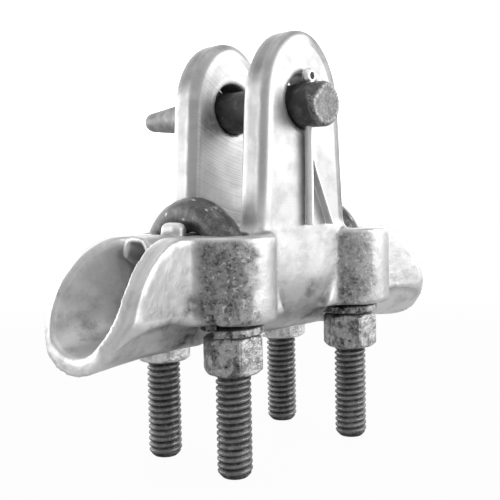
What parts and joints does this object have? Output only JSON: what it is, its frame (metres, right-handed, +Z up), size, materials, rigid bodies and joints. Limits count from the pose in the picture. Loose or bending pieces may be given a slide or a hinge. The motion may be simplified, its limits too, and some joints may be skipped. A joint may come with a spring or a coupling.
{
  "type": "angle suspension clamp",
  "caption": "Cast trough clamp that carries a line conductor round an angle: a keeper drawn down by U-bolts, hung from a clevis by a loose pin with a split cotter.",
  "frame": {"origin": "centre of the pin holes, midway between the two clevis ears", "axes": "+X along the conductor, +Y across it towards the head of the clevis pin, +Z up from the trough to the clevis"},
  "size_m": [0.176, 0.1016, 0.1602],
  "materials": {
    "galvanised_casting": "hot-dip galvanised, rough cast with darker mottled patches",
    "galvanised_fastener": "galvanised, mottled",
    "dark_rod_steel": "dark weathered zinc",
    "dark_forged_steel": "dark forged, scuffed on the end face",
    "cotter_wire": "drawn wire"
  },
  "bodies": {
    "clamp_body": {"clamp_body": "galvanised_casting", "keeper": "galvanised_casting", "lock_washer_near_left": "galvanised_fastener", "lock_washer_far_left": "galvanised_fastener", "lock_washer_near_right": "galvanised_fastener", "lock_washer_far_right": "galvanised_fastener"},
    "clevis_pin": {"clevis_pin": "dark_forged_steel", "cotter_pin": "cotter_wire"},
    "u_bolt_left": {"u_bolt_left": "dark_rod_steel"},
    "u_bolt_right": {"u_bolt_right": "dark_rod_steel"},
    "hex_nut_near_left": {"hex_nut_near_left": "galvanised_fastener"},
    "hex_nut_far_left": {"hex_nut_far_left": "galvanised_fastener"},
    "hex_nut_near_right": {"hex_nut_near_right": "galvanised_fastener"},
    "hex_nut_far_right": {"hex_nut_far_right": "galvanised_fastener"}
  },
  "joints": [
    {"name": "clevis_pin_turn", "type": "hinge", "parent": "clamp_body", "child": "clevis_pin", "pos_m": [0, 0, -0.00165], "axis": [0, 1, 0], "continuous": true},
    {"name": "hex_nut_near_left_turn", "type": "hinge", "parent": "clamp_body", "child": "hex_nut_near_left", "pos_m": [-0.03385, -0.0191, -0.08977], "axis": [0, 0, -1], "range_deg": [0, 5401]},
    {"name": "hex_nut_far_left_turn", "type": "hinge", "parent": "clamp_body", "child": "hex_nut_far_left", "pos_m": [-0.03385, 0.0191, -0.08977], "axis": [0, 0, -1], "range_deg": [0, 5401]},
    {"name": "u_bolt_left_lift", "type": "slide", "parent": "clamp_body", "child": "u_bolt_left", "axis": [0, 0, 1], "range_m": [0, 0.0345]},
    {"name": "hex_nut_near_right_turn", "type": "hinge", "parent": "clamp_body", "child": "hex_nut_near_right", "pos_m": [0.03385, -0.0191, -0.08977], "axis": [0, 0, -1], "range_deg": [0, 5401]},
    {"name": "hex_nut_far_right_turn", "type": "hinge", "parent": "clamp_body", "child": "hex_nut_far_right", "pos_m": [0.03385, 0.0191, -0.08977], "axis": [0, 0, -1], "range_deg": [0, 5401]},
    {"name": "u_bolt_right_lift", "type": "slide", "parent": "clamp_body", "child": "u_bolt_right", "axis": [0, 0, 1], "range_m": [0, 0.0345]}
  ],
  "couplings": [
    {"joint": "hex_nut_near_left_turn", "follows": "u_bolt_left_lift", "rad_per_m": 2731.8},
    {"joint": "hex_nut_far_left_turn", "follows": "u_bolt_left_lift", "rad_per_m": 2731.8},
    {"joint": "hex_nut_near_right_turn", "follows": "u_bolt_right_lift", "rad_per_m": 2731.8},
    {"joint": "hex_nut_far_right_turn", "follows": "u_bolt_right_lift", "rad_per_m": 2731.8}
  ]
}
